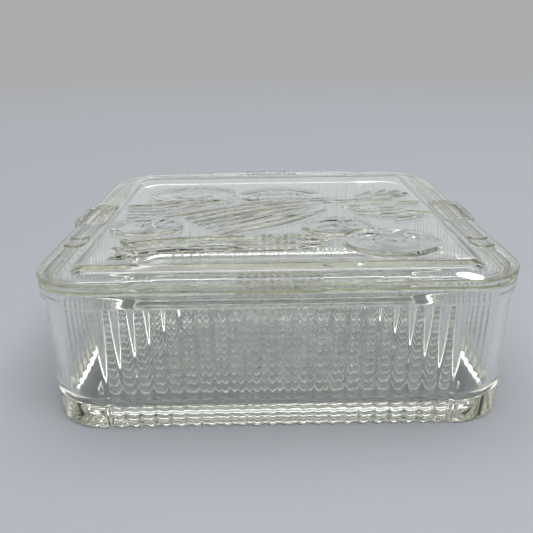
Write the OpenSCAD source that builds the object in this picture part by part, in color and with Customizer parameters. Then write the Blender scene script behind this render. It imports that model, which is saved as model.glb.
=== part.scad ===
// Covered square dish in pressed clear glass: a ribbed dish and a lift-off lid.
// The origin is on the table, under the middle of the dish. +Z is up and -Y is the front.

/* [Overall] */
// Width of the square lid across its flanges, without the grip tabs
lid_w = 210; // [200:1:220]
// Radius of the lid's rounded corners, seen from above
corner_r = 29; // [27:1:31]
// Height of the dish from the table to its rim
dish_h = 64.5; // [55:0.5:75]

/* [Dish] */
// Thickness of the dish wall
wall_t = 4.4; // [3.6:0.1:5]
// Thickness of the dish floor
floor_t = 7.2; // [5:0.1:8]
// How far each wall leans outward from the foot to the rim band
lean = 0.3; // [0.1:0.1:2]
// Height of the plain band round the rim
band_h = 7.2; // [5:0.1:9]
// How far the band stands out from the wall
band_out = 1.5; // [1.2:0.1:1.6]
// How far the band's face lies inside the lid's edge
band_inset = 0.2; // [0.2:0.1:1]
// Radius between the floor and the inside of the wall
fillet_r = 8; // [3:0.5:10]
// Radius of the edge round the foot
foot_r = 1; // [0.5:0.5:3]
// Number of upright ribs on each wall
rib_count = 22; // [16:2:22]
// Distance from one upright rib to the next
rib_pitch = 6.6; // [6:0.1:6.6]
// Radius of an upright rib
rib_r = 3.1; // [2.9:0.1:3.2]
// Depth of the grooves between the ribs
groove = 1.2; // [0.8:0.1:1.3]
// Number of flutes under the floor
flute_count = 24; // [12:2:24]
// Distance from one floor flute to the next
flute_pitch = 7.2; // [6:0.1:7.2]
// Radius of a floor flute
flute_r = 7; // [6:0.5:10]
// How far the ridges between the flutes stay off the table
flute_lift = 0.4; // [0.2:0.1:1]

/* [Lid] */
// Thickness of the lid's flange at its edge
flange_t = 3.2; // [2.8:0.1:4]
// Width of the flange from the lid's edge to the foot of the raised panel
flange_w = 15; // [11:0.5:16]
// Height of the raised panel's face above the underside of the flange
panel_z = 5.4; // [5:0.1:7]
// Width of the slope between the flange and the panel's flat face
slope_w = 5.8; // [5:0.1:9]
// Thickness of the panel
panel_t = 3.9; // [3.5:0.1:4.5]
// Depth of the locating rib that drops inside the dish
rib_drop = 3; // [2:0.5:5]
// Thickness of the locating rib
drop_t = 3.6; // [3:0.1:5]
// Gap between the locating rib and the inside of the dish
drop_gap = 0.9; // [0.6:0.1:2]
// Length of a grip tab along the lid's side
tab_len = 36; // [28:1:44]
// How far a grip tab reaches out past the lid's edge
tab_out = 2.2; // [1.5:0.1:4]
// Thickness of a grip tab
tab_t = 3.2; // [2.8:0.1:4]
// How far the tabs stand above the flange, without their ridges
tab_lift = 0.2; // [0.2:0.1:1]
// Number of ridges across a grip tab
ridge_count = 13; // [9:1:13]
// Radius of a tab ridge
ridge_r = 1.1; // [0.8:0.1:1.2]
// Length of the thumb pad on the left of a tab
pad_left = 44.3; // [24:0.1:46]
// Length of the thumb pad on the right of a tab
pad_right = 36.4; // [24:0.1:46]
// How far a thumb pad stands above the flange
pad_out = 0.5; // [0.3:0.1:0.8]
// Width of a thumb pad
pad_w = 10.4; // [8:0.1:11]
// Distance from a thumb pad to the lid's edge
pad_inset = 2.7; // [2:0.1:4]

/* [Relief] */
// Height of the fruit and vegetable relief above the panel
relief_h = 1.4; // [0.8:0.1:1.6]

/* [Hidden] */

$fn = 64;
glass = [0.84, 0.88, 0.84, 0.55];

// All corners are drawn round the same four upright axes, this far out from the middle.
core = lid_w / 2 - corner_r;
lid_out = corner_r;
band_face = lid_out - band_inset;
wall_top = band_face - band_out;
wall_foot = wall_top - lean;
band_z = dish_h - band_h;
rim_r = 1.3;
edge_r = 0.8;
arc_steps = 4;

inner_top = wall_top - wall_t + 0.6;
inner_foot = wall_foot - wall_t;

drop_face = inner_top - drop_gap;
panel_foot = lid_out - flange_w;
panel_edge = panel_foot - slope_w;
lid_z = dish_h;
panel_top = lid_z + panel_z;

// Points of a round edge: centre c, radius r, from angle a to angle b.
function arc(c, r, a, b) =
    [for (i = [0 : arc_steps]) let (t = a + (b - a) * i / arc_steps) c + r * [cos(t), sin(t)]];

// Copies its child to the four sides.
module each_side() {
    for (a = [0, 90, 180, 270])
        rotate([0, 0, a]) children();
}

// A solid square block with round corners. Its edge follows points [out from the core, height].
module block(points) {
    low = min([for (p = points) p[1]]);
    high = max([for (p = points) p[1]]);
    each_side() {
        translate([core, core, 0])
            rotate_extrude(angle = 90)
                polygon(points);
        translate([core, core, 0])
            rotate([90, 0, 0])
                linear_extrude(2 * core)
                    polygon(points);
    }
    translate([-core, -core, low])
        cube([2 * core, 2 * core, high - low]);
}

// ---- Dish ----

module dish_outside() {
    block(concat(
        [[0, 0]],
        arc([wall_foot - foot_r, foot_r], foot_r, -90, 0),
        [[wall_top, band_z], [band_face - 0.4, band_z + 0.2], [band_face, band_z + 0.8]],
        arc([band_face - rim_r, dish_h - rim_r], rim_r, 0, 90),
        [[0, dish_h]]
    ));
}

module dish_inside() {
    block(concat(
        [[0, floor_t]],
        arc([inner_foot - fillet_r, floor_t + fillet_r], fillet_r, -90, 0),
        [[inner_top, dish_h - 1], [inner_top + 0.8, dish_h + 0.1], [0, dish_h + 0.1]]
    ));
}

// What the mould leaves away from the front wall: the grooves between a row of upright ribs.
module grooves() {
    width = (rib_count + 1) * rib_pitch;
    translate([0, -core - wall_foot, 0])
        rotate([atan(lean / band_z), 0, 0])
            difference() {
                translate([-width / 2, -3, -2])
                    cube([width, 3 + groove, band_z + 2]);
                for (i = [0 : rib_count - 1])
                    translate([(i - (rib_count - 1) / 2) * rib_pitch, rib_r, -3])
                        cylinder(h = band_z + 4, r = rib_r);
            }
}

// The scooped flutes under the floor, side by side from front to back.
module floor_flutes() {
    half_chord = flute_pitch / 2;
    sink = sqrt(flute_r * flute_r - half_chord * half_chord);
    length = flute_count * flute_pitch;
    for (i = [0 : flute_count - 1])
        translate([-length / 2, (i - (flute_count - 1) / 2) * flute_pitch, flute_lift - sink])
            rotate([0, 90, 0])
                cylinder(h = length, r = flute_r);
    translate([-length / 2, -length / 2, -1])
        cube([length, length, 1 + flute_lift]);
}

module dish() {
    color(glass)
        difference() {
            dish_outside();
            dish_inside();
            each_side() grooves();
            floor_flutes();
        }
}

// ---- Lid ----

module lid_outside() {
    block(concat(
        [[0, lid_z]],
        arc([lid_out - edge_r, lid_z + edge_r], edge_r, -90, 0),
        arc([lid_out - edge_r, lid_z + flange_t - edge_r], edge_r, 0, 90),
        [
            [panel_foot, lid_z + flange_t],
            [panel_foot - slope_w * 0.25, lid_z + flange_t + 0.35],
            [panel_foot - slope_w * 0.6, panel_top - 0.6],
            [panel_edge + slope_w * 0.15, panel_top - 0.1],
            [panel_edge, panel_top],
            [0, panel_top]
        ]
    ));
}

module lid_underside() {
    under = panel_top - panel_t;
    block([
        [0, lid_z - 1],
        [panel_foot - 0.5, lid_z - 1],
        [panel_foot - 0.5, lid_z],
        [panel_edge, under],
        [0, under]
    ]);
}

// The ring under the flange that keeps the lid from sliding off the dish.
module locating_rib() {
    bottom = lid_z - rib_drop;
    difference() {
        block([
            [0, bottom],
            [drop_face - 0.9, bottom],
            [drop_face - 0.3, bottom + 0.6],
            [drop_face, lid_z + 0.5],
            [0, lid_z + 0.5]
        ]);
        block([
            [0, bottom - 1],
            [drop_face - drop_t, bottom - 1],
            [drop_face - drop_t, lid_z + 1],
            [0, lid_z + 1]
        ]);
    }
}

// The front grip: a ridged tab past the edge, between two low thumb pads.
module grip() {
    edge = -core - lid_out;
    foot = -core - panel_foot;
    tab_z = lid_z + flange_t + tab_lift - tab_t;
    depth = foot - edge + tab_out;
    translate([0, edge - tab_out, 0]) {
        translate([-tab_len / 2, 1.5, tab_z])
            cube([tab_len, depth - 1.5, tab_t]);
        translate([1.5 - tab_len / 2, 0, tab_z])
            cube([tab_len - 3, depth, tab_t]);
        for (side = [-1, 1])
            translate([side * (tab_len / 2 - 1.5), 1.5, tab_z])
                cylinder(h = tab_t, r = 1.5);
    }
    ridge_pitch = (tab_len - 2 * ridge_r) / (ridge_count - 1);
    for (i = [0 : ridge_count - 1])
        translate([(i - (ridge_count - 1) / 2) * ridge_pitch, edge - tab_out + 0.6, tab_z + tab_t - 0.3])
            rotate([-90, 0, 0])
                cylinder(h = depth - 0.6, r = ridge_r, $fn = 24);
    pad_r = pad_w / 2;
    left = pad_r - tab_len / 2 - pad_left;
    right = tab_len / 2 + pad_right - pad_r;
    translate([0, edge + pad_inset, lid_z + flange_t - 1]) {
        for (x = [left, right])
            translate([x, pad_r, 0])
                cylinder(h = 1 + pad_out, r = pad_r);
        translate([left, 0, 0])
            cube([right - left, pad_w, 1 + pad_out]);
    }
}

// ---- Relief on the panel ----

// A shallow round mound at place p.
module mound(p, r, h) {
    translate([p[0], p[1], panel_top])
        rotate_extrude()
            polygon([
                [0, -0.5], [r, -0.5], [r, 0], [r * 0.95, h * 0.45],
                [r * 0.8, h * 0.75], [r * 0.45, h * 0.93], [0, h]
            ]);
}

// A round-ended bar from a to b, h above the panel and w wide at the panel.
module bar(a, b, w, h) {
    r = (w * w / 4 + h * h) / (2 * h);
    length = norm(b - a);
    translate([a[0], a[1], panel_top + h - r])
        rotate([0, 0, atan2(b[1] - a[1], b[0] - a[0])]) {
            rotate([0, 90, 0])
                cylinder(h = length, r = r, $fn = 32);
            sphere(r, $fn = 32);
            translate([length, 0, 0])
                sphere(r, $fn = 32);
        }
}

// A tomato: a mound with five leaves round its stalk, which lies off the middle towards angle up.
module tomato(p, r, up) {
    stalk = p + 0.45 * r * [cos(up), sin(up)];
    mound(p, r, relief_h);
    for (i = [0 : 4]) {
        a = up + 36 + 72 * i;
        bar(stalk + 2 * [cos(a), sin(a)], stalk + r * 0.4 * [cos(a), sin(a)], 2.4, relief_h + 0.4);
    }
}

// Spears of asparagus lying side by side.
module spears() {
    for (i = [0 : 2])
        bar([-66 + 4 * i, -55.5 - 8.2 * i], [24 - 3 * i, -51.5 - 6.6 * i], 7.4, relief_h);
}

// A bunch of stalks spreading from its leaves at the back right.
module stalk_bunch() {
    for (i = [0 : 5])
        bar([-36 + 3.4 * i, -30 - 2 * i], [24 + 3 * i, 7 - 1.5 * i], 3.6, relief_h * 0.8);
    for (i = [0 : 2])
        bar([34 + 5 * i, 14 - 2 * i], [60 + 7 * i, 34 - 9 * i], 7, relief_h * 0.8);
}

// Long thin pods at the left.
module pods() {
    for (i = [0 : 4])
        bar([-79 + 3 * i, 4 - 7 * i], [-24 + 5 * i, 22 - 7 * i], 4, relief_h * 0.8);
}

// Loose peas at the right.
module peas() {
    for (p = [[60, 12], [75, 9], [46, 2], [64, -2], [50, -11], [62, -16], [75, -12]])
        bar(p - [3, 0], p + [3, 0], 5, relief_h * 0.8);
}

module relief() {
    intersection() {
        union() {
            tomato([-64.5, -30], 17.6, 90);
            tomato([31, -34], 17.4, 60);
            tomato([53.5, -59.5], 21.4, 95);
            mound([-48, 33], 24, relief_h);
            mound([4, 32], 20, relief_h);
            spears();
            stalk_bunch();
            pods();
            peas();
        }
        translate([-core - panel_edge, -core - panel_edge, panel_top - 0.3])
            cube([2 * (core + panel_edge), 2 * (core + panel_edge), 4]);
    }
}

module lid() {
    color(glass) {
        difference() {
            lid_outside();
            lid_underside();
        }
        locating_rib();
        each_side() grip();
        relief();
    }
}

dish();
lid();
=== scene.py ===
import math

import bpy
import numpy as np
from mathutils import Matrix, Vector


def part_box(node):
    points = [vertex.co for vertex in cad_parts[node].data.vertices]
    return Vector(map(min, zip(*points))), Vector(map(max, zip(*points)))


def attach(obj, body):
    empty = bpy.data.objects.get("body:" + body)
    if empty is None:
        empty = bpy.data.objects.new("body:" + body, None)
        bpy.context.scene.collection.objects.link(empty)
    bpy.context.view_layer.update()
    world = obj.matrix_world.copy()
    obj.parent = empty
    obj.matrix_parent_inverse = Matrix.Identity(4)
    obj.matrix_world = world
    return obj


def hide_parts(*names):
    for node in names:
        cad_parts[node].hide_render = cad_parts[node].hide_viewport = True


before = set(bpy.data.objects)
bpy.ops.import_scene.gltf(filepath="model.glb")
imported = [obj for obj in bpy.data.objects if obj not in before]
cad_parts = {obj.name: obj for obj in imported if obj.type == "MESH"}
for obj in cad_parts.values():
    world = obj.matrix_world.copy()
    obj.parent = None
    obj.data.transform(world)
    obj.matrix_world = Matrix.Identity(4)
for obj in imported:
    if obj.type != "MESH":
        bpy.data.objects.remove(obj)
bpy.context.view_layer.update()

# All shapes below are worked out in millimetres, then scaled to metres.
MM = 0.001


def highest_corner(node):
    """The corner of a CAD node's box furthest right, back and up, in millimetres."""
    low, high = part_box(node)
    return np.array(high) / MM


dish_high = highest_corner("dish")
lid_high = highest_corner("lid")

# ---- Sizes shared by the dish and the lid ----

CORNER_R = 29.0
TAB_OUT = 2.2
LID_OUT = CORNER_R
# Corners are drawn round four upright axes, this far out from the middle.
CORE = lid_high[0] - TAB_OUT - LID_OUT
RIM_Z = dish_high[2]
# Half the air gap between the rim and the flange that lies on it
AIR = 0.12
ARC_STEPS = 24
# Length given to one corner in the ring coordinate
CORNER_SPAN = 90.0
SIDE_SPAN = 2 * CORE + CORNER_SPAN
# A place along a side that is past everything on it, for the stations round the corners
PAST_SIDE = 1e3


# ---- Building closed shells row by row round the square ----


class Shell:
    """Collects points and faces. Points that coincide are welded when it becomes a mesh."""

    def __init__(self):
        self.points = []
        self.faces = []
        self.count = 0

    def add(self, points):
        """Adds points and returns their numbers."""
        numbers = np.arange(self.count, self.count + len(points))
        self.points.append(np.asarray(points, float))
        self.count += len(points)
        return numbers

    def join(self, lower, upper):
        """Faces between two rows. Each is a list of ring coordinates and one of point numbers."""
        keys_a, a = lower
        keys_b, b = upper
        shared, at_a, at_b = np.intersect1d(keys_a, keys_b, return_indices=True)
        for k in range(len(shared)):
            nxt = (k + 1) % len(shared)
            along_a = stretch(a, at_a[k], at_a[nxt])
            along_b = stretch(b, at_b[k], at_b[nxt])
            self.faces.append(along_a + along_b[::-1])

    def mesh(self, name):
        """The object, with coinciding points welded and faces of no area dropped."""
        points = np.concatenate(self.points)
        _, first, same = np.unique(np.round(points, 4), axis=0, return_index=True, return_inverse=True)
        same = same.reshape(-1)
        faces = []
        for face in self.faces:
            ring = [int(same[i]) for i in face]
            ring = [v for i, v in enumerate(ring) if v != ring[i - 1]]
            if len(set(ring)) > 2:
                faces.append(ring)
        data = bpy.data.meshes.new(name)
        data.from_pydata((points[first] * MM).tolist(), [], faces)
        data.validate()
        data.update()
        data.shade_smooth()
        obj = bpy.data.objects.new(name, data)
        bpy.context.scene.collection.objects.link(obj)
        return obj


def stretch(numbers, start, end):
    """Point numbers from one place to another along a closed row."""
    if end > start:
        return numbers[start : end + 1].tolist()
    return numbers[start:].tolist() + numbers[: end + 1].tolist()


def ring_keys(along):
    """Ring coordinates for stations at these places along each side, plus the corners."""
    corner = 2 * CORE + np.arange(1, ARC_STEPS) * CORNER_SPAN / ARC_STEPS
    one = np.concatenate([np.asarray(along) + CORE, corner])
    return np.round(np.concatenate([one + k * SIDE_SPAN for k in range(4)]), 5)


class Stations:
    """Where a row's points stand: on the core square's edge, and which way is out."""

    def __init__(self, along):
        self.keys = ring_keys(along)
        side = np.floor(self.keys / SIDE_SPAN).astype(int)
        s = self.keys - side * SIDE_SPAN
        self.straight = s <= 2 * CORE + 1e-4
        turn = np.radians(np.where(self.straight, 0.0, s - 2 * CORE))
        self.sine, self.cosine = np.sin(turn), np.cos(turn)
        # Each station's place along its side, from the side's middle
        self.u = np.where(self.straight, s - CORE, PAST_SIDE)
        foot = np.stack([np.where(self.straight, s - CORE, CORE), np.full_like(s, -CORE)], 1)
        out = np.stack([self.sine, -self.cosine], 1)
        self.foot, self.out = quarter_turns(foot, side), quarter_turns(out, side)

    def tight(self, r, share):
        """Distances out for a row r out whose corners have a radius of only this share of r."""
        inner = r * (1 - share)
        side = r / np.maximum(self.sine, self.cosine)
        along = inner * (self.sine + self.cosine)
        bend = along + np.sqrt(np.maximum(along**2 - 2 * inner**2 + (share * r) ** 2, 0))
        return np.where(side * np.minimum(self.sine, self.cosine) <= inner, side, bend)

    def row(self, shell, r, z):
        """Adds a row r out from the core at height z. Either may differ from station to station."""
        r = np.broadcast_to(r, self.keys.shape)
        place = self.foot + self.out * r[:, None]
        z = z(place[:, 0], place[:, 1]) if callable(z) else np.broadcast_to(z, self.keys.shape)
        return self.keys, shell.add(np.column_stack([place, z]))


def quarter_turns(points, turns):
    """Each point turned about the middle by its own number of quarter turns."""
    c, s = np.array([1, 0, -1, 0])[turns], np.array([0, 1, 0, -1])[turns]
    return np.stack([c * points[:, 0] - s * points[:, 1], s * points[:, 0] + c * points[:, 1]], 1)


def arc(r, z, radius, start, end, steps):
    """Points of a round edge about (r, z), between two angles in degrees."""
    a = np.radians(np.linspace(start, end, steps + 1))
    return list(zip(r + radius * np.cos(a), z + radius * np.sin(a)))


def smooth(x, low, high):
    """0 below low, 1 above high, and an even curve between."""
    t = np.clip((x - low) / (high - low), 0, 1)
    return t * t * (3 - 2 * t)


# ---- The dish ----

BAND_H = 7.2
BAND_OUT = 1.5
BAND_R = 1.3
LEAN = 0.3
WALL_T = 4.4
FLOOR_T = 7.2
FOOT_R = 1.0
FILLET_R = 8.0
RIM_R = 1.5
RIM_INNER_R = 0.9
BAND_FACE = dish_high[0] - CORE
WALL_TOP = BAND_FACE - BAND_OUT
WALL_FOOT = WALL_TOP - LEAN
BAND_Z = RIM_Z - BAND_H
INNER_TOP = WALL_TOP - WALL_T + 0.6
INNER_FOOT = WALL_FOOT - WALL_T

GROOVE_COUNT = 23
RIB_PITCH = 6.6
# Each rib is an arc of this radius and half width, and the groove is an arc that meets it smoothly.
RIB_R = 2.6
RIB_HALF = 1.85
# The flat foot ring starts this far in from the wall, past the deepest groove.
GROOVE_ROOM = 1.8
RIB_STEPS = 16

FLUTE_COUNT = 24
FLUTE_PITCH = 7.2
FLUTE_R = 7.0
FLUTE_LIFT = 0.4
FLUTE_STEPS = 10
FIELD = FLUTE_COUNT * FLUTE_PITCH / 2
FIELD_CORNER_R = 11.0


def groove_depth(u):
    """How far out the wall stands between its upright ribs, at places u along a side: 0 or less."""
    from_rib = np.abs((u / RIB_PITCH) % 1 - 0.5) * RIB_PITCH
    trough_r = RIB_R * (RIB_PITCH / 2 / RIB_HALF - 1)
    drop = RIB_R - math.sqrt(RIB_R**2 - RIB_HALF**2)
    rib = np.sqrt(RIB_R**2 - np.minimum(from_rib, RIB_HALF) ** 2) - RIB_R
    from_trough = np.minimum(RIB_PITCH / 2 - from_rib, RIB_PITCH / 2 - RIB_HALF)
    trough = trough_r - np.sqrt(trough_r**2 - from_trough**2)
    deepest = drop * (1 + trough_r / RIB_R)
    depth = np.where(from_rib < RIB_HALF, rib, trough - deepest)
    return np.where(np.abs(u) < GROOVE_COUNT * RIB_PITCH / 2, depth, 0.0)


def under_floor(x, y):
    """Height of the underside inside the foot ring: scooped flutes from left to right."""
    half_chord = FLUTE_PITCH / 2
    from_middle = np.abs((y / FLUTE_PITCH) % 1 - 0.5) * FLUTE_PITCH
    scoop = np.sqrt(FLUTE_R**2 - from_middle**2) - math.sqrt(FLUTE_R**2 - half_chord**2)
    past = [np.maximum(np.abs(v) - FIELD + FIELD_CORNER_R, 0) for v in (x, y)]
    inside = smooth(FIELD_CORNER_R - np.hypot(*past), 0, 1.2)
    return (FLUTE_LIFT + scoop) * inside


def grid_faces(shell, xs, ys, height):
    """A face-down grid over the core square."""
    x, y = np.meshgrid(xs, ys, indexing="ij")
    numbers = shell.add(np.column_stack([x.ravel(), y.ravel(), height(x, y).ravel()])).reshape(x.shape)
    for i in range(len(xs) - 1):
        for j in range(len(ys) - 1):
            ring = [numbers[i, j], numbers[i, j + 1], numbers[i + 1, j + 1], numbers[i + 1, j]]
            shell.faces.append([int(n) for n in ring])


def build_dish():
    """The dish, from under its floor, up the outside, over the rim and down the inside."""
    shell = Shell()
    half_ribs = GROOVE_COUNT * RIB_PITCH / 2
    ribbed = np.linspace(-half_ribs, half_ribs, GROOVE_COUNT * RIB_STEPS + 1)
    fine = Stations(np.concatenate([[-CORE], ribbed, [CORE]]))
    coarse = Stations(np.concatenate([[-CORE], ribbed[::RIB_STEPS], [CORE]]))
    groove = np.where(fine.straight, groove_depth(fine.u), 0.0)

    # Under the floor: the flutes, then the flat foot ring.
    across = np.linspace(-CORE, CORE, 20)
    flutes = np.arange(-FIELD, FIELD + 0.01, FLUTE_PITCH / FLUTE_STEPS)
    along = np.unique(np.round(np.concatenate([[-CORE, CORE], flutes[np.abs(flutes) < CORE]]), 5))
    grid_faces(shell, across, along, under_floor)
    around = [Stations(across), Stations(along)]
    reach = FIELD - CORE
    rows = [mixed_row(shell, around, r, under_floor) for r in np.linspace(0, reach, 17)]
    rows.append(fine.row(shell, reach + 1.0, 0.0))
    rows.append(fine.row(shell, WALL_FOOT - FOOT_R - GROOVE_ROOM, 0.0))

    # The round edge of the foot and the wall, with the grooves cut through both.
    for r, z in arc(WALL_FOOT - FOOT_R, FOOT_R, FOOT_R, -90, 0, 6):
        rows.append(fine.row(shell, r + groove, z))
    for z in np.linspace(FOOT_R, BAND_Z - 0.5, 9)[1:]:
        rows.append(fine.row(shell, WALL_FOOT + LEAN * (z - FOOT_R) / (BAND_Z - FOOT_R) + groove, z))

    # The plain band and the rim.
    rows.append(fine.row(shell, WALL_TOP + groove, BAND_Z - 0.1))
    for r, z in arc(BAND_FACE - BAND_R, BAND_Z + BAND_R, BAND_R, -75, 0, 5):
        rows.append(fine.row(shell, r, z))
    rim_top = RIM_Z - AIR
    rows.append(fine.row(shell, BAND_FACE, BAND_Z + BAND_R + 0.7))
    rows.append(fine.row(shell, BAND_FACE, rim_top - RIM_R - 0.6))
    for r, z in arc(BAND_FACE - RIM_R, rim_top - RIM_R, RIM_R, 0, 90, 6):
        rows.append(fine.row(shell, r, z))

    # Inside: the rim's inner edge, the wall, the fillet and the flat floor.
    rows.append(fine.row(shell, BAND_FACE - RIM_R - 0.5, rim_top))
    rows.append(fine.row(shell, INNER_TOP + RIM_INNER_R + 0.4, rim_top))
    wall_low = FLOOR_T + FILLET_R
    wall_high = rim_top - RIM_INNER_R
    for r, z in arc(INNER_TOP + RIM_INNER_R, wall_high, RIM_INNER_R, 90, 180, 4):
        rows.append(fine.row(shell, r, z))
    for z in (wall_high - 0.5, wall_high - 2, 40, 20, wall_low + 0.6):
        rise = (z - wall_low) / (wall_high - wall_low)
        rows.append(coarse.row(shell, INNER_FOOT + (INNER_TOP - INNER_FOOT) * rise, z))
    for r, z in arc(INNER_FOOT - FILLET_R, wall_low, FILLET_R, 0, -90, 8):
        rows.append(coarse.row(shell, r, z))
    rows.append(coarse.row(shell, INNER_FOOT - FILLET_R - 0.8, FLOOR_T))
    rows.append(coarse.row(shell, 0.0, FLOOR_T))
    for lower, upper in zip(rows, rows[1:]):
        shell.join(lower, upper)
    shell.faces.append(rows[-1][1].tolist())
    return shell.mesh("dish_glass")


def mixed_row(shell, around, r, z):
    """A row with one set of stations along its front and back and another along its other sides."""
    keys, numbers = [], []
    for side in range(4):
        k, n = around[side % 2].row(shell, r, z)
        mine = np.floor(k / SIDE_SPAN).astype(int) == side
        keys.append(k[mine])
        numbers.append(n[mine])
    return np.concatenate(keys), np.concatenate(numbers)


# ---- The relief on the lid ----

# How high a tomato is for its width
TOMATO_SQUASH = 0.86


def curve_points(points, steps=20):
    """A smooth line through given points, as a list of short steps."""
    p = np.asarray(points, float)
    knots = np.linspace(0, 1, len(p))
    t = np.linspace(0, 1, steps + 1)
    return np.stack([np.polyval(np.polyfit(knots, p[:, i], len(p) - 1), t) for i in (0, 1)], 1)


def near_curve(x, y, points):
    """Distance from each place to a line, how far along the line that is from 0 to 1, and which side."""
    best, along, side = np.full(x.shape, 1e9), np.zeros(x.shape), np.ones(x.shape)
    count = len(points) - 1
    for i in range(count):
        a, d = points[i], points[i + 1] - points[i]
        t = np.clip(((x - a[0]) * d[0] + (y - a[1]) * d[1]) / (d @ d), 0, 1)
        dx, dy = x - a[0] - t * d[0], y - a[1] - t * d[1]
        distance = np.hypot(dx, dy)
        closer = distance < best
        best = np.where(closer, distance, best)
        along = np.where(closer, (i + t) / count, along)
        side = np.where(closer, np.sign(d[0] * dy - d[1] * dx), side)
    return best, along, side


def rounded(distance, half_width, height, power=2.0):
    """A round-backed ridge of this half width."""
    q = np.clip(distance / np.maximum(half_width, 1e-3), 0, 1)
    return height * np.maximum(1 - q**power, 0) ** 0.75


def ellipse(x, y, centre, rx, ry):
    """0 at the middle of an ellipse and 1 on its edge, and the angle about its middle."""
    dx, dy = (x - centre[0]) / rx, (y - centre[1]) / ry
    return np.hypot(dx, dy), np.arctan2(dy, dx)


def dome(q, r, step=0.75, swell=0.6):
    """A swelling whose height drops to a clear rim where q is 1, r out from its middle."""
    return step * smooth((1 - q) * r, 0, 1.5) + swell * np.maximum(1 - q**2, 0)


def tomato(x, y, centre, r, up):
    """A tomato seen from the side, with its leaves and stalk towards angle up."""
    q, _ = ellipse(x, y, centre, r, r * TOMATO_SQUASH)
    a = math.radians(up)
    crown = np.array(centre) + 0.25 * r * np.array([math.cos(a), math.sin(a)])
    away, angle = np.hypot(x - crown[0], y - crown[1]), np.arctan2(y - crown[1], x - crown[0])
    lobes = 0.5 + 0.5 * np.cos(5 * (angle - a))
    body = dome(q, r) - 0.14 * (1 - lobes) * smooth(away, 0.1 * r, 0.6 * r) * smooth(q, 1.0, 0.7)
    leaves = np.zeros_like(body)
    for k in range(5):
        b = a + math.radians(36 + 72 * k)
        reach = r * (0.62 if k % 2 else 0.52)
        tip = crown + reach * np.array([math.cos(b + 0.25), math.sin(b + 0.25)])
        middle = crown + 0.5 * reach * np.array([math.cos(b - 0.2), math.sin(b - 0.2)])
        d, s, _ = near_curve(x, y, curve_points([crown, middle, tip], 10))
        width = 0.35 + r * 0.055 * np.sin(np.pi * np.clip(s, 0, 1) ** 0.7)
        leaves = np.maximum(leaves, rounded(d, width, 0.34))
    stem_end = crown + r * 0.4 * np.array([math.cos(a + 0.3), math.sin(a + 0.3)])
    d, s, _ = near_curve(x, y, curve_points([crown, (crown + stem_end) / 2 + 0.3, stem_end], 6))
    stem = rounded(d, r * 0.05 * (1 + 0.4 * s), 0.36)
    return np.maximum(body, 0) + np.maximum(leaves, stem)


def spear(x, y, points, half_width):
    """A spear of asparagus: a round shaft with pointed scales, crowded towards the tip."""
    d, s, side = near_curve(x, y, curve_points(points, 24))
    swell = 1 + 0.14 * smooth(s, 0.6, 0.82)
    width = half_width * swell * (1 - smooth(s, 0.8, 1.04)) ** 0.7
    body = rounded(d, width, 0.9)
    across = side * d / half_width
    rows = s * 30
    left, right = np.abs((rows + across) % 1 - 0.5), np.abs((rows - across) % 1 - 0.5)
    scales = 0.2 * smooth(np.maximum(left, right), 0.5, 0.2) - 0.2
    bracts = np.zeros_like(body)
    for k, at in enumerate((0.14, 0.28, 0.42, 0.53)):
        lean = 0.3 if k % 2 else -0.3
        wedge = (s - at) / 0.06
        edge = 0.42 * (1 - wedge) - np.abs(across - lean)
        fade = (wedge > 0) * (1 - np.clip(wedge, 0, 1))
        bracts = np.maximum(bracts, 0.14 * smooth(edge, 0, 0.12) * fade)
    return body + smooth(body, 0.0, 0.4) * (smooth(s, 0.56, 0.64) * scales + bracts)


def stalks(x, y, lines, half_width, height):
    """Stalks lying side by side, so that shallow valleys part them."""
    found = np.zeros_like(x)
    for line in lines:
        d, s, _ = near_curve(x, y, curve_points(line))
        found = np.maximum(found, rounded(d, half_width * (1 - 0.2 * s), height))
    return found


def leaf(x, y, base, tip, half_width, height, lobes=0):
    """A pointed leaf with a middle vein and, if it has lobes, a scalloped edge."""
    base, tip = np.asarray(base, float), np.asarray(tip, float)
    bend = (tip - base)[::-1] * [-0.08, 0.08]
    d, s, _ = near_curve(x, y, curve_points([base, (base + tip) / 2 + bend, tip], 10))
    width = half_width * np.sin(np.pi * np.clip(s, 0.02, 0.98) ** 0.8) ** 0.7
    if lobes:
        width = width * (0.84 + 0.16 * np.abs(np.sin(np.pi * lobes * s)))
    body = rounded(d, width, height, 2.4)
    vein = 0.18 * smooth(d, 0.6, 0.1) if lobes else 0.0
    return np.where(body > 0, np.maximum(body - vein, 0.05), 0)


def cabbage(x, y, centre, rx, ry):
    """A leafy head: a wide mound with veins that fan out from its foot and wavy leaf edges."""
    q, angle = ellipse(x, y, centre, rx, ry)
    body = dome(q * (1 + 0.02 * np.sin(9 * angle)), ry, 0.45, 0.65)
    spread = np.arctan2(x - centre[0], y - centre[1] + ry)
    veins = 0.12 * smooth(np.abs((spread * 4.5) % 1 - 0.5), 0.16, 0.02)
    edges = np.zeros_like(body)
    for k, (dx, size) in enumerate([(-0.33, 0.66), (0.36, 0.6), (0.02, 0.42)]):
        p, a = ellipse(x, y, (centre[0] + dx * rx, centre[1] - 0.1 * ry), rx * size, ry * size)
        from_edge = np.abs(p * (1 + 0.04 * np.sin(8 * a + k)) - 1)
        edges = np.maximum(edges, 0.24 * smooth(from_edge, 0.1, 0.0))
    return np.maximum(body + (edges - veins) * smooth(q, 1.0, 0.85), 0)


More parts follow.
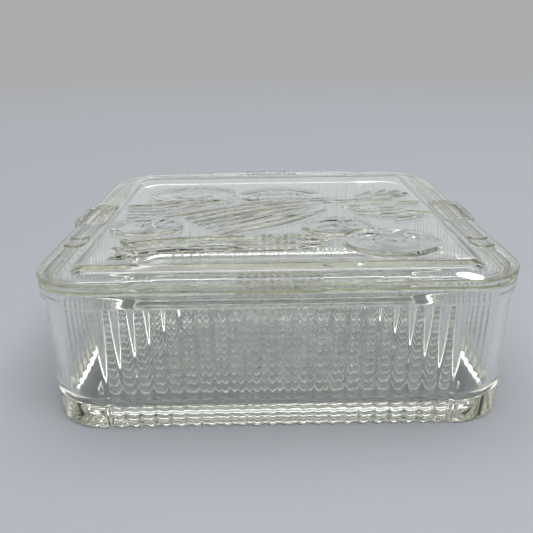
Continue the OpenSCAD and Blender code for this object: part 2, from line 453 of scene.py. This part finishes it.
def mushroom(x, y, centre, rx, ry):
    """A wide cap with a rolled rim, and fine lines that run in under it."""
    q, angle = ellipse(x, y, centre, rx, ry)
    lip_q, _ = ellipse(x, y, (centre[0], centre[1] - ry * 0.3), rx * 0.84, ry * 0.62)
    lip = 0.3 * smooth(np.abs(lip_q - 1), 0.14, 0.0)
    gills = 0.12 * smooth(np.abs((angle * 7) % 1 - 0.5), 0.25, 0.05) * smooth(lip_q, 1.0, 0.8)
    return np.maximum(dome(q, ry, 0.5, 0.65) - (lip + gills) * smooth(q, 1.0, 0.9), 0)


def back_stalks(i):
    """The wavy stalks at the back left, from the top one down."""
    return [
        (-80 + 0.8 * i, 11.5 - 4.5 * i),
        (-60, 14.5 - 5.0 * i),
        (-40, 22 - 4.4 * i),
        (-22 + 0.5 * i, 25.5 - 2.7 * i),
    ]


def outer_stalks(i):
    """The long stalks that arch over the bunch and end in its leaves."""
    return [
        (-49 + 3 * i, -9 - 3.8 * i),
        (-20 + 3 * i, 9 - 3.7 * i),
        (12 + 2 * i, 19 - 3.2 * i),
        (44, 21 - 2.0 * i),
        (76 - 3 * i, 26 - 3 * i),
    ]


def inner_stalks(i):
    """The stalks of the bunch, from its cut end at the front left."""
    return [
        (-40 + 2.4 * i, -22 - 3.1 * i),
        (-14 + 3.0 * i, -5 - 3.3 * i),
        (10 + 1.2 * i, 6 - 3.2 * i),
        (28 - 0.3 * i, 9 - 2.0 * i),
    ]


# Places and sizes on the panel. Tomatoes: middle, half width and the way their stalks point, in degrees.
TOMATOES = [((-65.5, -30), 18.9, 40), ((31.6, -33.8), 18.6, 62)]
FRONT_TOMATO = (53.6, -59.3), 22.9, 115
# The front tomato stands clear of what is behind it by this much.
FRONT_GAP = 0.8
# Asparagus: how far forward each spear lies, and its half width
SPEARS = [(-50.4, 3.5), (-58.2, 3.6), (-66.4, 3.6)]
BASE_LEAVES = 7
# Pods: half their length, then each one's middle and its turn in degrees
POD_HALF = 7.4
PODS = [
    ((59.5, 10.8), -6), ((76.0, 8.8), 8), ((46.0, 0.2), -8), ((64, -2.9), 4),
    ((50.0, -11.6), -4), ((62, -15.6), 6), ((76.0, -11.6), -8), ((70, -21.5), 16),
]
# Leaves: foot, tip and half width
LEAVES = [
    ((48, 20), (80, 29), 3.2), ((50, 18), (72, 17.5), 2.8), ((58, 24), (70, 41), 3.4),
    ((62, 24), (78, 38), 3.4), ((50, 23), (60, 36), 3.0), ((66, 26), (81, 31), 2.6),
]


def relief(x, y):
    """Height of the relief above the panel at each place."""
    shapes = [
        cabbage(x, y, (-48.5, 33.5), 27, 21),
        mushroom(x, y, (3.5, 30.5), 25, 18),
        stalks(x, y, [back_stalks(1.25 * i) for i in range(5)], 3.4, 0.55),
        stalks(x, y, [outer_stalks(1.4 * i) for i in range(3)], 3.2, 0.65),
        stalks(x, y, [inner_stalks(1.5 * i) for i in range(5)], 3.3, 0.6),
    ]
    shapes += [tomato(x, y, *one) for one in TOMATOES]
    for base, tip, width in LEAVES:
        shapes.append(leaf(x, y, base, tip, width, 0.8, lobes=5))
    for (px, py), turn in PODS:
        half = POD_HALF * np.array([math.cos(math.radians(turn)), math.sin(math.radians(turn))])
        shapes.append(leaf(x, y, np.array([px, py]) - half, np.array([px, py]) + half, 3.0, 0.95))
    for i, (top, width) in enumerate(SPEARS):
        tip = (26 - 1.5 * i, top + 0.4 + 1.6 * i)
        line = [(-69 + 2 * i, top - 5.0), (-42, top - 0.2), (-8, top + 1.4), tip]
        shapes.append(spear(x, y, line, width))
    for i in range(BASE_LEAVES):
        base = np.array([-67.5 + 1.6 * (i % 3), -53.0 - 3.3 * i])
        shapes.append(leaf(x, y, base, base + [-7.0 - (i % 2), 3.0 - 1.1 * i], 2.1, 0.7))
    height = np.zeros_like(x)
    for shape in shapes:
        height = np.maximum(height, shape)
    front = tomato(x, y, *FRONT_TOMATO)
    centre, r, _ = FRONT_TOMATO
    q, _ = ellipse(x, y, centre, r + FRONT_GAP, r * TOMATO_SQUASH + FRONT_GAP)
    return np.where(q < 1, front, np.maximum(height, front))


# ---- The lid ----

FLANGE_T = 3.2
FLANGE_W = 15.0
PANEL_Z = 5.4
SLOPE_W = 5.8
PANEL_T = 3.9
EDGE_R = 0.8
RIB_DROP = 3.0
DROP_T = 3.6
DROP_GAP = 0.9
DROP_R = 1.2
ROOT_R = 0.7
TAB_HALF = 18.0
TAB_LIFT = 0.2
TAB_ROUND = 1.5
RIDGE_COUNT = 11
RIDGE_OUT = 0.9
# The ridges stop short of the tab's ends, and ripple its outer edge.
RIDGE_END = 0.6
EDGE_RIPPLE = 0.45
# The ridges are nicked across, this far apart
NICK_PITCH = 3.7
# Each thumb pad is a low step with a shorter one on it. The left one is longer than the right one.
PAD_LEFT = 44.3, 35.2
PAD_RIGHT = 36.4, 25.8
PAD_STEP = 0.45
PAD_HALF = 5.2
PAD_MID = 21.1

PANEL_FOOT = LID_OUT - FLANGE_W
PANEL_EDGE = PANEL_FOOT - SLOPE_W
PANEL_TOP = RIM_Z + PANEL_Z
LID_Z = RIM_Z + AIR
FLANGE_TOP = RIM_Z + FLANGE_T
# The panel's grid has this many steps across the core square. Its cells are CELL steps wide, or half or a
# quarter of that where the relief bends.
LATTICE = 512
STEP = 2 * CORE / LATTICE
CELL = 4
MAX_CELLS = 31500


def panel_height(x, y):
    """Height of the panel's face with its relief."""
    return PANEL_TOP + relief(x, y)


def split_cells(height):
    """Cuts the lattice into square cells, small where the height bends most: (i, j, width) rows."""

    def bend(width):
        """How far each cell of this width is from flat between its corners."""
        n = LATTICE // width
        worst = np.zeros((n, n))
        corner = height[::width, ::width]
        for i in range(width + 1):
            for j in range(width + 1):
                a, b = i / width, j / width
                flat = (
                    corner[:-1, :-1] * (1 - a) * (1 - b)
                    + corner[1:, :-1] * a * (1 - b)
                    + corner[:-1, 1:] * (1 - a) * b
                    + corner[1:, 1:] * a * b
                )
                here = height[i : i + LATTICE - width + 1 : width, j : j + LATTICE - width + 1 : width]
                worst = np.maximum(worst, np.abs(here - flat))
        return worst

    wide, middle = bend(CELL), bend(CELL // 2)
    for tolerance in np.geomspace(0.004, 0.2, 40):
        split = wide > tolerance
        again = np.repeat(np.repeat(split, 2, 0), 2, 1) & (middle > tolerance)
        if split.size + 3 * split.sum() + 3 * again.sum() <= MAX_CELLS:
            break
    half = CELL // 2
    cells = [(i * CELL, j * CELL, CELL) for i, j in np.argwhere(~split)]
    halves = np.repeat(np.repeat(split, 2, 0), 2, 1) & ~again
    cells += [(i * half, j * half, half) for i, j in np.argwhere(halves)]
    for i, j in np.argwhere(again):
        cells += [(i * half + a, j * half + b, 1) for a in (0, 1) for b in (0, 1)]
    return cells


def panel_faces(shell, edge_steps):
    """The face-up grid of the panel over the core square, with points on its edge at edge_steps."""
    line = np.arange(LATTICE + 1) * STEP - CORE
    x, y = np.meshgrid(line, line, indexing="ij")
    height = panel_height(x, y)
    cells = split_cells(height)
    used = np.zeros((LATTICE + 1, LATTICE + 1), bool)
    for i, j, w in cells:
        used[i : i + w + 1 : w, j : j + w + 1 : w] = True
    used[edge_steps, 0] = used[edge_steps, LATTICE] = True
    used[0, edge_steps] = used[LATTICE, edge_steps] = True
    numbers = np.full(used.shape, -1)
    numbers[used] = shell.add(np.column_stack([x[used], y[used], height[used]]))
    for i, j, w in cells:
        walk = [(i + k, j) for k in range(w)] + [(i + w, j + k) for k in range(w)]
        walk += [(i + w - k, j + w) for k in range(w)] + [(i, j + w - k) for k in range(w)]
        shell.faces.append([int(numbers[p]) for p in walk if used[p]])


def tab_window(u):
    """How far out the tab's end reaches at each place along the side, as a share of its reach."""
    a = np.abs(u)
    corner = np.clip(a - (TAB_HALF - TAB_ROUND), 0, TAB_ROUND)
    reach = TAB_OUT - TAB_ROUND + np.sqrt(TAB_ROUND**2 - corner**2)
    return np.where(a <= TAB_HALF, reach / TAB_OUT, 0.0)


def ridges(u):
    """The ridges across a tab, from 0 between them to 1 on top."""
    pitch = 2 * (TAB_HALF - RIDGE_END) / RIDGE_COUNT
    wave = np.abs(np.cos(np.pi * u / pitch))
    return np.where(np.abs(u) < TAB_HALF - RIDGE_END, wave, 0.0)


def stipple(u, v):
    """Small uneven bumps, the same each run."""
    return (np.sin(5.1 * u + 1.7 * v) + np.sin(3.3 * u - 4.1 * v + 1.0) + np.sin(7.9 * u + 2.0)) / 3


def build_lid():
    """The lid, from the middle of its underside, out round its edge and back in over the top."""
    shell = Shell()
    # Stations stand closest at the tab, and closer where the pads end than between.
    steps = np.arange(LATTICE + 1)
    place = np.abs(steps * STEP - CORE)
    at_tab = place < TAB_HALF + 1.2
    at_pad_ends = (place > TAB_HALF + PAD_RIGHT[1] - 4) & (place < TAB_HALF + PAD_LEFT[0] + 2)
    keep = at_tab | (at_pad_ends & (steps % (CELL // 2) == 0)) | (steps % CELL == 0)
    edge_steps = steps[keep]
    fine = Stations(edge_steps * STEP - CORE)
    coarse = Stations(edge_steps[edge_steps % (4 * CELL) == 0] * STEP - CORE)
    u = fine.u
    window, ridge = tab_window(u), ridges(u)
    in_tab = smooth(TAB_HALF - np.abs(u), -0.3, 0.3)
    rows = []

    def add(stations, r, z, more=0.0):
        share = np.interp(r, [PANEL_EDGE, PANEL_FOOT, LID_OUT - 2], [0.35, 0.5, 1.0])
        rows.append(stations.row(shell, stations.tight(r, share) + more, z))

    # Underside: the recess under the panel, the locating rib and the flange.
    under = PANEL_TOP - PANEL_T
    drop_face = INNER_TOP - DROP_GAP
    drop_z = RIM_Z - RIB_DROP
    for r, z in [(0, under), (PANEL_EDGE - 1.5, under), (PANEL_EDGE - 0.3, under - 0.05)]:
        add(coarse, r, z)
    for t in (0.15, 0.35, 0.5, 0.65, 0.85):
        add(coarse, PANEL_EDGE + (SLOPE_W - 0.5) * t, under + (LID_Z - under) * smooth(t, 0, 1))
    for r in (PANEL_FOOT - 0.4, PANEL_FOOT + 0.5, drop_face - DROP_T - 1.2):
        add(coarse, r, LID_Z)
    for r, z in arc(drop_face - DROP_T - ROOT_R, LID_Z - ROOT_R, ROOT_R, 90, 0, 3):
        add(coarse, r, z)
    for r, z in arc(drop_face - DROP_T + DROP_R, drop_z + DROP_R, DROP_R, 180, 270, 4):
        add(coarse, r, z)
    for r, z in arc(drop_face - DROP_R - 0.2, drop_z + DROP_R, DROP_R, 270, 355, 4):
        add(coarse, r, z)
    for out, down in [(-0.1, ROOT_R), (0.1, 0.2), (0.6, 0.0)]:
        add(coarse, drop_face + out, LID_Z - down)
    add(fine, LID_OUT - EDGE_R - 2.2, LID_Z)

    # The edge, which steps out and up at each tab.
    reach = window * (TAB_OUT - EDGE_RIPPLE) + EDGE_RIPPLE * ridge * (window > 0)
    low_z = LID_Z + TAB_LIFT * in_tab
    top_z = FLANGE_TOP + TAB_LIFT * in_tab
    add(fine, LID_OUT - EDGE_R - 0.8, LID_Z + 0.1 * in_tab, reach * 0.2)
    for a in np.linspace(-90, 0, 5):
        c, s = math.cos(math.radians(a)), math.sin(math.radians(a))
        add(fine, LID_OUT - EDGE_R + EDGE_R * c, low_z + EDGE_R + EDGE_R * s, reach)
    add(fine, LID_OUT, (low_z + top_z) / 2, reach)
    for a in np.linspace(0, 90, 6):
        c, s = math.cos(math.radians(a)), math.sin(math.radians(a))
        lift = ridge * RIDGE_OUT * smooth(s, 0.1, 1.0)
        add(fine, LID_OUT - EDGE_R + EDGE_R * c, top_z - EDGE_R + EDGE_R * s + lift, reach)

    # The top of the flange, with the ridges and the thumb pads.
    edge_low, edge_high = PAD_MID - PAD_HALF, PAD_MID + PAD_HALF
    across = [edge_high + d for d in (1.3, 0.6, 0.25, 0.0, -0.25, -0.6, -1.3)]
    across += np.linspace(edge_high - 2.2, edge_low + 2.2, 8).tolist()
    across += [edge_low + d for d in (1.3, 0.6, 0.25, 0.0, -0.25, -0.6, -1.2)]
    pad_out = np.abs(u) - TAB_HALF
    lengths = [np.where(u < 0, left, right) for left, right in zip(PAD_LEFT, PAD_RIGHT)]
    for r in across:
        outer = smooth(r, 22.0, LID_OUT - EDGE_R)
        nick = 0.35 + 0.65 * abs(math.cos(math.pi * (r - LID_OUT + 1.5) / NICK_PITCH))
        ridged = ridge * nick * RIDGE_OUT * smooth(r, PANEL_FOOT + 0.3, PANEL_FOOT + 1.2)
        pad = 0.0
        for rough, length in zip((0.0, 0.12), lengths):
            beyond = np.maximum(pad_out - (length - PAD_HALF), 0)
            inside = PAD_HALF - np.hypot(beyond, r - PAD_MID) + rough * stipple(u, r)
            pad = pad + PAD_STEP * smooth(inside, -0.3, 0.3) * (pad_out > 0)
        lifted = TAB_LIFT * in_tab * smooth(r, PANEL_FOOT + 0.3, PANEL_FOOT + 1.6)
        add(fine, r, FLANGE_TOP + lifted + ridged + pad, reach * outer)

    # The slope up to the panel, and the panel's own edge.
    for t in (0.0, 0.12, 0.3, 0.5, 0.7, 0.88):
        add(fine, PANEL_FOOT - SLOPE_W * t, FLANGE_TOP + (PANEL_TOP - FLANGE_TOP) * smooth(t, 0.0, 1.0))
    for r in (PANEL_EDGE, 6.5, 4.6, 2.9, 1.4, 0.0):
        add(fine, r, panel_height)
    for lower, upper in zip(rows, rows[1:]):
        shell.join(lower, upper)
    shell.faces.append(rows[0][1].tolist()[::-1])
    panel_faces(shell, edge_steps)
    return shell.mesh("lid_glass")


# ---- Materials ----

SURFACE_COLOUR = (0.985, 0.995, 0.985)
GLASS_IOR = 1.5
# Slow waves left by the mould, with their height in metres
WAVE_SCALE = 45.0
WAVE_HEIGHT = 0.0004
WAVE_STRENGTH = 0.03
# Faint smears and rubbed patches, where the noise is between these two levels
SMEAR_SCALE = 28.0
SMEAR_LEVELS = 0.45, 0.75
SMEAR_ROUGHNESS = 0.012
# Each piece's colour by depth, and how strong it is
DISH_DEPTH = (0.8, 0.8, 0.68), 9.0
LID_DEPTH = (0.76, 0.77, 0.58), 12.0


def pressed_glass(name, depth_colour, depth_density):
    """Clear pressed glass: faintly wavy, a little worn, and tinted by its own thickness."""
    material = bpy.data.materials.new(name)
    material.use_nodes = True
    tree = material.node_tree
    nodes, links = tree.nodes, tree.links
    nodes.clear()
    output = nodes.new("ShaderNodeOutputMaterial")
    glass = nodes.new("ShaderNodeBsdfPrincipled")
    glass.inputs["Base Color"].default_value = (*SURFACE_COLOUR, 1)
    glass.inputs["Transmission Weight"].default_value = 1.0
    glass.inputs["IOR"].default_value = GLASS_IOR
    links.new(glass.outputs["BSDF"], output.inputs["Surface"])

    place = nodes.new("ShaderNodeTexCoord")
    waves = nodes.new("ShaderNodeTexNoise")
    waves.inputs["Scale"].default_value = WAVE_SCALE
    waves.inputs["Detail"].default_value = 3.0
    links.new(place.outputs["Object"], waves.inputs["Vector"])
    bump = nodes.new("ShaderNodeBump")
    bump.inputs["Strength"].default_value = WAVE_STRENGTH
    bump.inputs["Distance"].default_value = WAVE_HEIGHT
    links.new(waves.outputs["Fac"], bump.inputs["Height"])
    links.new(bump.outputs["Normal"], glass.inputs["Normal"])

    smears = nodes.new("ShaderNodeTexNoise")
    smears.inputs["Scale"].default_value = SMEAR_SCALE
    smears.inputs["Detail"].default_value = 6.0
    links.new(place.outputs["Object"], smears.inputs["Vector"])
    spread = nodes.new("ShaderNodeMapRange")
    spread.inputs["From Min"].default_value = SMEAR_LEVELS[0]
    spread.inputs["From Max"].default_value = SMEAR_LEVELS[1]
    spread.inputs["To Min"].default_value = 0.0
    spread.inputs["To Max"].default_value = SMEAR_ROUGHNESS
    links.new(smears.outputs["Fac"], spread.inputs["Value"])
    links.new(spread.outputs["Result"], glass.inputs["Roughness"])

    depth = nodes.new("ShaderNodeVolumeAbsorption")
    depth.inputs["Color"].default_value = (*depth_colour, 1)
    depth.inputs["Density"].default_value = depth_density
    links.new(depth.outputs["Volume"], output.inputs["Volume"])
    return material


def plain_material(name, colour, roughness):
    """A material of one colour."""
    material = bpy.data.materials.new(name)
    material.use_nodes = True
    shader = material.node_tree.nodes["Principled BSDF"]
    shader.inputs["Base Color"].default_value = (*colour, 1)
    shader.inputs["Roughness"].default_value = roughness
    return material


# ---- The studio ----

FLOOR_COLOUR = (0.26, 0.27, 0.29)
FLOOR_ROUGHNESS = 0.8
FLOOR_REACH = 2.4
# The floor lies just under the foot, and starts to fade this far out.
FLOOR_GAP = 0.0003
FADE_START = 0.9
SKY_COLOUR = (0.98, 0.99, 1.0)
# How bright the surroundings are, by how high they stand, from 0 at the horizon to 1 overhead
SKY = [(0.0, 0.42), (0.08, 0.42), (0.2, 0.75), (0.33, 0.75), (0.42, 0.03), (0.74, 0.03), (0.84, 3.6)]
FAR_GLOW = 0.42


def build_stage():
    """A pale floor that fades into the pale surroundings far from the dish."""
    corners = 96
    angles = [2 * math.pi * k / corners for k in range(corners)]
    points = [(FLOOR_REACH * math.cos(a), FLOOR_REACH * math.sin(a), 0) for a in angles]
    data = bpy.data.meshes.new("floor")
    data.from_pydata(points, [], [range(corners)])
    floor = bpy.data.objects.new("floor", data)
    floor.location.z = -FLOOR_GAP
    bpy.context.scene.collection.objects.link(floor)
    material = plain_material("floor_paint", FLOOR_COLOUR, FLOOR_ROUGHNESS)
    tree = material.node_tree
    nodes, links = tree.nodes, tree.links
    place = nodes.new("ShaderNodeTexCoord")
    length = nodes.new("ShaderNodeVectorMath")
    length.operation = "LENGTH"
    links.new(place.outputs["Object"], length.inputs[0])
    far = nodes.new("ShaderNodeMapRange")
    far.interpolation_type = "SMOOTHSTEP"
    far.inputs["From Min"].default_value = FADE_START
    far.inputs["From Max"].default_value = FLOOR_REACH
    links.new(length.outputs["Value"], far.inputs["Value"])
    glow = nodes.new("ShaderNodeEmission")
    glow.inputs["Color"].default_value = (*SKY_COLOUR, 1)
    glow.inputs["Strength"].default_value = FAR_GLOW
    mix = nodes.new("ShaderNodeMixShader")
    links.new(far.outputs["Result"], mix.inputs["Fac"])
    links.new(nodes["Principled BSDF"].outputs["BSDF"], mix.inputs[1])
    links.new(glow.outputs["Emission"], mix.inputs[2])
    links.new(mix.outputs["Shader"], nodes["Material Output"].inputs["Surface"])
    data.materials.append(material)


def area_light(name, place, size, power, aim=(0, 0, 0.03)):
    """A soft oval light that points at the dish."""
    data = bpy.data.lights.new(name, "AREA")
    data.shape = "ELLIPSE"
    data.size, data.size_y = size
    data.energy = power
    light = bpy.data.objects.new(name, data)
    light.location = place
    direction = light.location - type(light.location)(aim)
    light.rotation_euler = direction.to_track_quat("Z", "Y").to_euler()
    light.visible_camera = False
    bpy.context.scene.collection.objects.link(light)


def build_lights():
    """A window, a small lamp that glints on one corner, and surroundings in soft bands."""
    area_light("window", place=(0.5, -0.5, 1.1), size=(0.6, 0.4), power=5)
    area_light("lamp", place=(0.338, 0.602, 0.355), size=(0.045, 0.01), power=0.015)
    world = bpy.data.worlds.new("studio")
    world.use_nodes = True
    tree = world.node_tree
    back = tree.nodes["Background"]
    place = tree.nodes.new("ShaderNodeTexCoord")
    split = tree.nodes.new("ShaderNodeSeparateXYZ")
    ramp = tree.nodes.new("ShaderNodeValToRGB")
    tree.links.new(place.outputs["Generated"], split.inputs["Vector"])
    tree.links.new(split.outputs["Z"], ramp.inputs["Fac"])
    tree.links.new(ramp.outputs["Color"], back.inputs["Strength"])
    back.inputs["Color"].default_value = (*SKY_COLOUR, 1)
    ramp.color_ramp.interpolation = "EASE"
    while len(ramp.color_ramp.elements) < len(SKY):
        ramp.color_ramp.elements.new(0.5)
    for element, (height, level) in zip(ramp.color_ramp.elements, SKY):
        element.position = height
        element.color = (level, level, level, 1)
    bpy.context.scene.world = world


# The camera's height of view, turn and lean, in degrees, and its place as shares of the lid's width.
CAMERA_DOWN = 21.1
CAMERA_TURN = -0.25
CAMERA_ROLL = -0.79
CAMERA_PLACE = (-0.0291, -1.543, 0.7645)
CAMERA_LENS = 40.5


def build_camera():
    """The camera, in front of the dish and looking down at it."""
    data = bpy.data.cameras.new("camera")
    data.lens = CAMERA_LENS
    data.sensor_width = 36
    data.clip_start = 0.01
    camera = bpy.data.objects.new("camera", data)
    width = 2 * (CORE + LID_OUT) * MM
    turn = Matrix.Rotation(math.radians(CAMERA_TURN), 4, "Z")
    tilt = Matrix.Rotation(math.radians(90 - CAMERA_DOWN), 4, "X")
    roll = Matrix.Rotation(math.radians(CAMERA_ROLL), 4, "Z")
    camera.matrix_world = Matrix.Translation([v * width for v in CAMERA_PLACE]) @ turn @ tilt @ roll
    bpy.context.scene.collection.objects.link(camera)
    bpy.context.scene.camera = camera


# ---- Putting it together ----

build_camera()
build_stage()
build_lights()

dish = build_dish()
dish.data.materials.append(pressed_glass("dish_glass", *DISH_DEPTH))
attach(dish, "dish")
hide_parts("dish")

lid = build_lid()
lid.data.materials.append(pressed_glass("lid_glass", *LID_DEPTH))
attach(lid, "lid")
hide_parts("lid")

# The plain view transform keeps the fine light and dark in the glass.
bpy.context.scene.view_settings.view_transform = "Standard"
# Light passes many glass surfaces here before it reaches the floor or the sky.
GLASS_BOUNCES = 120
cycles = bpy.context.scene.cycles
cycles.max_bounces = GLASS_BOUNCES
cycles.transmission_bounces = GLASS_BOUNCES
cycles.glossy_bounces = GLASS_BOUNCES // 2
